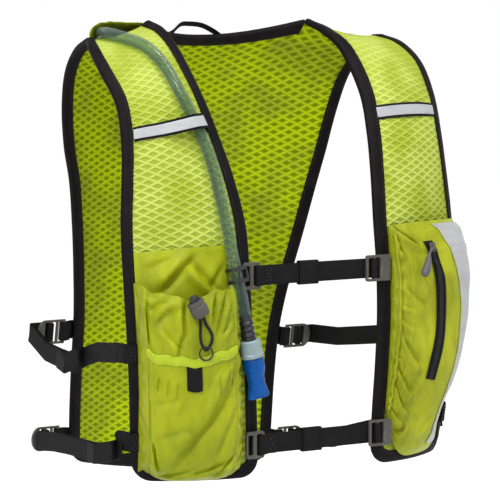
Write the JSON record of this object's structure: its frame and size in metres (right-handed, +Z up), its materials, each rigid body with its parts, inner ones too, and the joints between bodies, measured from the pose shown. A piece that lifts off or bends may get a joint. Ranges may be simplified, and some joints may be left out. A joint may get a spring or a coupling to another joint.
{
  "type": "running hydration vest",
  "caption": "Running hydration vest in its worn shape, with bottle and zip pockets, bladder sleeve, drinking tube with bite valve, front straps and side straps.",
  "frame": {"origin": "midway between the neck ends of the two shoulder seams, where the vest sits on the shoulders", "axes": "+Z up along the wearer's back, -Y the way the wearer faces, +X towards the wearer's left"},
  "size_m": [0.418, 0.3493, 0.4944],
  "materials": {
    "lime_mesh": "padded air mesh, matte",
    "lime_cloth": "thin woven nylon, slight sheen",
    "black_binding": "folded binding tape, satin",
    "black_webbing": "woven webbing, matte",
    "silver_tape": "retro-reflective tape",
    "grey_plastic": "moulded, fine texture",
    "black_plastic": "moulded, satin",
    "clear_tube": "clear soft tubing, smooth",
    "frosted_plastic": "translucent, ribbed",
    "blue_rubber": "soft moulded, satin"
  },
  "bodies": {
    "vest": {"back_binding": "black_binding", "back_panel": "lime_mesh", "bite_valve": "blue_rubber", "bladder_sleeve": "lime_cloth", "cord_lock": "grey_plastic", "cord_ring": "black_plastic", "drink_tube": "clear_tube", "hang_loop": "black_webbing", "left_front_binding": "black_binding", "left_front_panel": "lime_mesh", "left_lower_anchor": "black_webbing", "left_lower_buckle": "grey_plastic", "left_lower_strap": "black_webbing", "left_reflective_strip": "silver_tape", "left_upper_anchor": "black_webbing", "left_upper_buckle": "grey_plastic", "left_upper_strap": "black_webbing", "left_zip_pocket": "lime_cloth", "lock_cord": "black_webbing", "neck_binding": "black_binding", "pocket_band": "lime_cloth", "pocket_liner": "lime_cloth", "pocket_piping": "lime_cloth", "pocket_reflective_stripe": "silver_tape", "pocket_tab": "black_webbing", "right_bottle_pocket": "lime_cloth", "right_front_binding": "black_binding", "right_front_panel": "lime_mesh", "right_lower_anchor": "black_webbing", "right_lower_buckle": "grey_plastic", "right_lower_strap": "black_webbing", "right_reflective_strip": "silver_tape", "right_upper_anchor": "black_webbing", "right_upper_buckle": "grey_plastic", "right_upper_strap": "black_webbing", "sternum_buckle": "grey_plastic", "sternum_hook": "grey_plastic", "sternum_keeper": "black_webbing", "sternum_strap": "black_webbing", "tube_clip": "black_plastic", "tube_connector": "grey_plastic", "tube_cover": "lime_cloth", "valve_collar": "frosted_plastic", "waist_buckle": "grey_plastic", "waist_hook": "grey_plastic", "waist_keeper": "black_webbing", "waist_strap": "black_webbing", "zip": "black_webbing", "zip_pull": "grey_plastic", "zip_slider": "grey_plastic"},
    "button": {"lock_button": "black_plastic"}
  },
  "joints": [
    {"name": "lock_button_push", "type": "slide", "parent": "vest", "child": "button", "axis": [0.4568, -0.1446, -0.8777], "range_m": [0, 0.0035], "stiffness_N_per_m": 200, "springref_m": -0.003}
  ]
}
